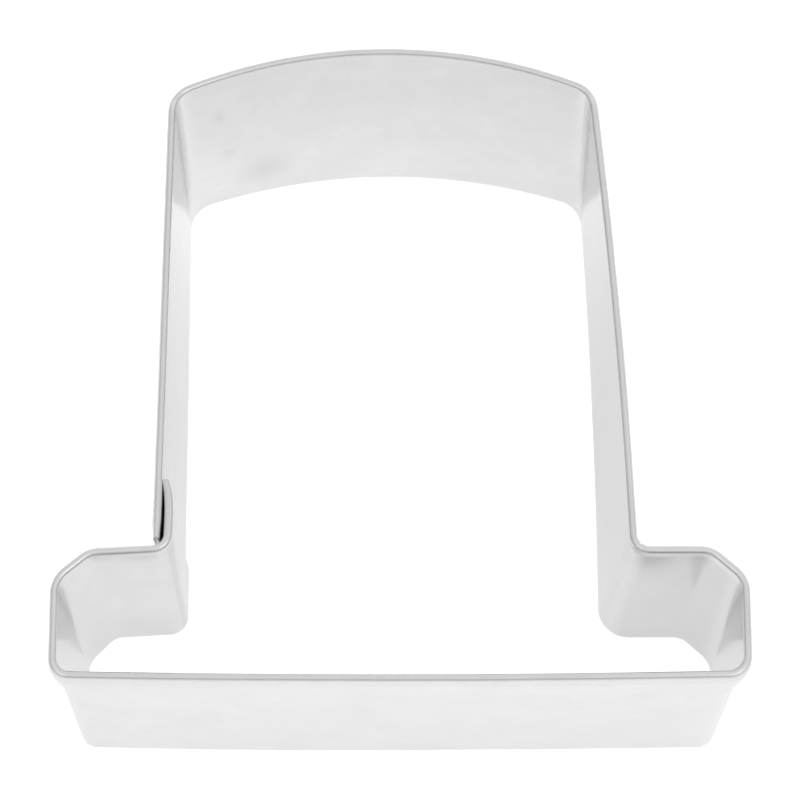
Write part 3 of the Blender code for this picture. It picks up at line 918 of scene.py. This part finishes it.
def tinplate_material():
    """Bright rolled tinplate: grain along the strip, faint scratches and smears, and by place the wear,
    painted highlights and painted shade.
    """
    material, shader, nodes = new_material("tinplate_wear_and_light")
    uv = nodes.add("ShaderNodeUVMap", uv_map="developed").outputs["UV"]
    solid = nodes.add("ShaderNodeTexCoord").outputs["Object"]

    grain_place = nodes.add("ShaderNodeMapping", {"Vector": uv, "Scale": GRAIN_SCALE}).outputs[0]
    grain = nodes.noise(grain_place, 1.0, detail=4.0, roughness=0.6)
    brushed_place = nodes.add("ShaderNodeMapping", {"Vector": uv, "Scale": BRUSHED_SCALE}).outputs[0]
    brushed = nodes.noise(brushed_place, 1.0, detail=3.0)

    smear = nodes.noise(solid, SMEAR_SCALE, detail=4.0, roughness=0.62)
    mottle = nodes.noise(solid, MOTTLE_SCALE, detail=3.0, roughness=0.6)

    scratches = None
    for turn, scale, aside in SCRATCHES:
        place = nodes.add("ShaderNodeMapping", {"Vector": uv, "Location": (aside, aside, 0.0),
                                                "Rotation": (0.0, 0.0, turn),
                                                "Scale": (SCRATCH_SCALE, scale, 1.0)})
        lines = nodes.noise(place.outputs[0], 1.0, detail=2.0)
        thin = nodes.mapped(lines, *SCRATCH_THRESHOLD, 0.0, 1.0)
        scratches = thin if scratches is None else nodes.math("MAXIMUM", scratches, thin)

    tone = nodes.mapped(smear, 0.35, 0.68, 0.0, 1.0)
    colour = nodes.mix(tone, grey(TIN_GREYS[0], 0.002), grey(TIN_GREYS[1], -0.002))
    mottled = nodes.mapped(mottle, 0.40, 0.70, 0.0, MOTTLE_SHARE)
    colour = nodes.mix(mottled, colour, grey(MOTTLE_GREY, 0.004))
    rough = nodes.mapped(smear, 0.30, 0.72, *TIN_ROUGHNESS)
    rough = nodes.math("ADD", rough, nodes.mapped(brushed, 0.35, 0.70, 0.0, BRUSHED_ROUGHNESS))
    # wear, painted highlights and painted shade, each from its mask
    for where, share, level, warmth, rougher in WEAR_AND_PAINTED_LIGHT:
        wear_and_light = scratches if where == "scratches" else nodes.attribute(where)
        colour = nodes.mix(nodes.math("MULTIPLY", wear_and_light, share), colour, grey(level, warmth))
        rough = nodes.math("ADD", rough, nodes.math("MULTIPLY", wear_and_light, rougher), clamp=True)

    relief = nodes.math("ADD", nodes.math("MULTIPLY", grain, GRAIN_SHARE),
                        nodes.math("MULTIPLY", brushed, BRUSHED_SHARE))
    relief = nodes.math("SUBTRACT", relief, nodes.math("MULTIPLY", scratches, SCRATCH_DEPTH))
    settings = {"Height": relief, "Strength": RELIEF_STRENGTH, "Distance": RELIEF_HEIGHT}
    surface = nodes.add("ShaderNodeBump", settings)

    # the painted highlight also makes the metal partly diffuse
    metal = nodes.mapped(nodes.attribute("painted_highlight"), 0.0, 1.0, 1.0, HIGHLIGHT_METAL)
    shader.inputs["Specular Tint"].default_value = grey(0.92)
    nodes.tree.links.new(metal, shader.inputs["Metallic"])
    nodes.tree.links.new(colour, shader.inputs["Base Color"])
    nodes.tree.links.new(rough, shader.inputs["Roughness"])
    nodes.tree.links.new(surface.outputs["Normal"], shader.inputs["Normal"])
    return material


def weld_material():
    """Dull, fine-grained grey of a spot weld's pressed face."""
    material, shader, nodes = new_material("weld_dull")
    solid = nodes.add("ShaderNodeTexCoord").outputs["Object"]
    grains = nodes.noise(solid, 5200.0, detail=4.0, roughness=0.65)
    patches = nodes.noise(solid, 1400.0, detail=3.0)
    colour = nodes.mix(nodes.mapped(patches, 0.35, 0.68, 0.0, 1.0), grey(0.70, 0.006), grey(0.76, 0.0))
    colour = nodes.mix(nodes.mapped(grains, 0.45, 0.75, 0.0, 0.5), colour, grey(0.66, 0.01))
    surface = nodes.add("ShaderNodeBump", {"Height": grains, "Strength": 0.5, "Distance": 0.00001})
    shader.inputs["Metallic"].default_value = 1.0
    nodes.tree.links.new(colour, shader.inputs["Base Color"])
    nodes.tree.links.new(nodes.mapped(grains, 0.3, 0.7, 0.16, 0.26), shader.inputs["Roughness"])
    nodes.tree.links.new(surface.outputs["Normal"], shader.inputs["Normal"])
    return material


# Surroundings

FLOOR_SIZE = 6.0
FLOOR_GREY = 0.70
FLOOR_LIFT_SEEN = 0.80        # what the camera sees more than the light alone gives
# For glossy rays the floor's light is painted: a painted shade inside the cutter and a painted pool of light
# round it, fading far away
FLOOR_LIFT_INSIDE = 0.52      # what reflections see more in the middle of the cutter,
FLOOR_LIFT_AROUND = 0.67      # near its walls and outside them,
FLOOR_LIFT_FAR = 0.42         # and far away
FLOOR_INSIDE = (0.020, 0.034)
FLOOR_FADE = (0.046, 0.13)
# Greys of the room in front of the object and behind it, from level to straight up
SKY_FRONT = ((0.0, 0.58), (0.10, 0.57), (0.20, 0.57), (0.50, 0.61), (0.72, 0.80), (1.0, 0.84))
SKY_BACK = ((0.0, 0.95), (0.10, 0.95), (0.20, 0.95), (0.50, 0.92), (0.72, 0.84), (1.0, 0.84))
SKY_BACK_FROM = (-0.30, 0.95) # from front to back the room turns from the one to the other
SKY_BACK_EASE = 2.4
SKY_SIDE = 0.12               # the right side is this much brighter than the middle, the left as much darker
SKY_LIGHT = 0.55              # share of the sky's brightness that lights the floor
SOFTBOX_SIZE = 0.46
SOFTBOX_DISTANCE = 0.90
SOFTBOX_TURN = math.radians(52)
SOFTBOX_ELEVATION = math.radians(48)
SOFTBOX_POWER = {"left": 0.4, "right": 0.6}
OVERHEAD_HEIGHT = 0.60
OVERHEAD_ASIDE = 0.05
OVERHEAD_SIZE = 0.25
OVERHEAD_POWER = 0.60


def floor_object():
    half = FLOOR_SIZE / 2
    mesh = bpy.data.meshes.new("floor")
    corners = [(-half, -half, 0), (half, -half, 0), (half, half, 0), (-half, half, 0)]
    mesh.from_pydata(corners, [], [(0, 1, 2, 3)])
    floor = bpy.data.objects.new("floor", mesh)
    material, shader, nodes = new_material("floor_white")
    rays = nodes.add("ShaderNodeLightPath").outputs
    place = nodes.add("ShaderNodeTexCoord").outputs["Object"]
    away = nodes.add("ShaderNodeVectorMath", {0: place}, operation="LENGTH").outputs["Value"]
    # painted shade inside the cutter and a painted pool of light round it, seen only in reflections
    near = nodes.mapped(away, *FLOOR_INSIDE, FLOOR_LIFT_INSIDE, FLOOR_LIFT_AROUND)
    far = nodes.mapped(away, *FLOOR_FADE, 0.0, FLOOR_LIFT_AROUND - FLOOR_LIFT_FAR)
    mirrored = nodes.math("SUBTRACT", near, far)
    seen = nodes.math("MULTIPLY", rays["Is Camera Ray"], FLOOR_LIFT_SEEN)
    lift = nodes.math("ADD", seen, nodes.math("MULTIPLY", rays["Is Glossy Ray"], mirrored))
    shader.inputs["Base Color"].default_value = grey(FLOOR_GREY)
    shader.inputs["Roughness"].default_value = 0.9
    shader.inputs["Specular IOR Level"].default_value = 0.0
    shader.inputs["Emission Color"].default_value = grey(1.0)
    nodes.tree.links.new(lift, shader.inputs["Emission Strength"])
    mesh.materials.append(material)
    return floor


def sky_world():
    """A plain soft room: light behind the object, darker low down in front of it, white to the camera."""
    world = bpy.data.worlds.new("studio")
    world.use_nodes = True
    nodes = Nodes(world.node_tree)
    way = nodes.add("ShaderNodeTexCoord").outputs["Generated"]
    parts = nodes.add("ShaderNodeSeparateXYZ", {"Vector": way}).outputs
    ramps = []
    for levels in (SKY_FRONT, SKY_BACK):
        ramp = nodes.add("ShaderNodeValToRGB", {"Fac": parts["Z"]})
        stops = ramp.color_ramp.elements
        while len(stops) < len(levels):
            stops.new(0.5)
        for stop, (place, level) in zip(stops, levels):
            stop.position = place
            stop.color = grey(level)
        ramps.append(ramp.outputs["Color"])
    towards_back = nodes.math("POWER", nodes.mapped(parts["Y"], *SKY_BACK_FROM, 0.0, 1.0), SKY_BACK_EASE)
    sky = nodes.mix(towards_back, *ramps)
    side = nodes.mapped(parts["X"], -1.0, 1.0, 1.0 - SKY_SIDE, 1.0 + SKY_SIDE)
    sky = nodes.add("ShaderNodeVectorMath", {0: sky, "Scale": side}, operation="SCALE").outputs["Vector"]
    rays = nodes.add("ShaderNodeLightPath").outputs
    sky = nodes.mix(rays["Is Camera Ray"], sky, grey(1.0))
    background = world.node_tree.nodes["Background"]
    nodes.tree.links.new(sky, background.inputs["Color"])
    strength = nodes.mapped(rays["Is Diffuse Ray"], 0.0, 1.0, 1.0, SKY_LIGHT)
    nodes.tree.links.new(strength, background.inputs["Strength"])
    return world


def softbox(name, turn, power, middle):
    """A square lamp in front and to one side, facing the middle of the object."""
    flat = math.cos(SOFTBOX_ELEVATION)
    way = Vector((math.sin(turn) * flat, -math.cos(turn) * flat, math.sin(SOFTBOX_ELEVATION)))
    lamp = bpy.data.lights.new(name, "AREA")
    lamp.shape = "SQUARE"
    lamp.size = SOFTBOX_SIZE
    lamp.energy = power
    box = bpy.data.objects.new(name, lamp)
    box.location = middle + way * SOFTBOX_DISTANCE
    box.rotation_mode = "QUATERNION"
    box.rotation_quaternion = way.to_track_quat("Z", "Y")
    return box


def overhead_lamp():
    """A soft lamp straight above that lights the floor and doesn't glare in the rim."""
    lamp = bpy.data.lights.new("overhead", "AREA")
    lamp.shape = "DISK"
    lamp.size = OVERHEAD_SIZE
    lamp.energy = OVERHEAD_POWER
    overhead = bpy.data.objects.new("overhead", lamp)
    overhead.location = (OVERHEAD_ASIDE, 0.0, OVERHEAD_HEIGHT)
    overhead.visible_glossy = False
    return overhead


def camera_object():
    data = bpy.data.cameras.new("camera")
    data.lens = LENS
    data.sensor_width = SENSOR
    data.clip_start = 0.01
    data.clip_end = 20.0
    camera = bpy.data.objects.new("camera", data)
    back = CAMERA_RIGHT.cross(CAMERA_UP)
    turn = Matrix((CAMERA_RIGHT, CAMERA_UP, back)).transposed().to_4x4()
    camera.matrix_world = Matrix.Translation(CAMERA_PLACE) @ turn
    return camera


def show(item):
    bpy.context.scene.collection.objects.link(item)
    return item


scene = bpy.context.scene
scene.view_settings.view_transform = "Standard"
scene.camera = show(camera_object())
scene.world = sky_world()

floor = show(floor_object())
middle = (cad_low + cad_high) / 2
for side, turn in (("left", -SOFTBOX_TURN), ("right", SOFTBOX_TURN)):
    show(softbox("softbox_" + side, turn, SOFTBOX_POWER[side], middle))

show(overhead_lamp())

strip = Strip()
tinplate = tinplate_material()
weld_metal = weld_material()

strip_low, strip_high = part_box("formed_strip")
points = np.concatenate([strip.inside.reshape(-1, 3), strip.outside.reshape(-1, 3)])
centre = (points.min(axis=0) + points.max(axis=0)) / 2
shift = Vector(((strip_low.x + strip_high.x) / 2 - centre[0], 0.0, 0.0))
shift.y = (strip_low.y + strip_high.y) / 2 - centre[1]

body = show(strip_object(strip))
body.data.transform(Matrix.Translation(shift))
body.data.materials.append(tinplate)
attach(body, "root")
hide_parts("formed_strip")

for seed, (place, height) in enumerate(WELD_HEIGHTS.items()):
    weld = show(weld_object("weld_nugget_" + place, strip, height, 3.0 * seed))
    weld.data.transform(Matrix.Translation(shift))
    weld.data.materials.append(weld_metal)
    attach(weld, "root")
    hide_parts("spot_weld_" + place)
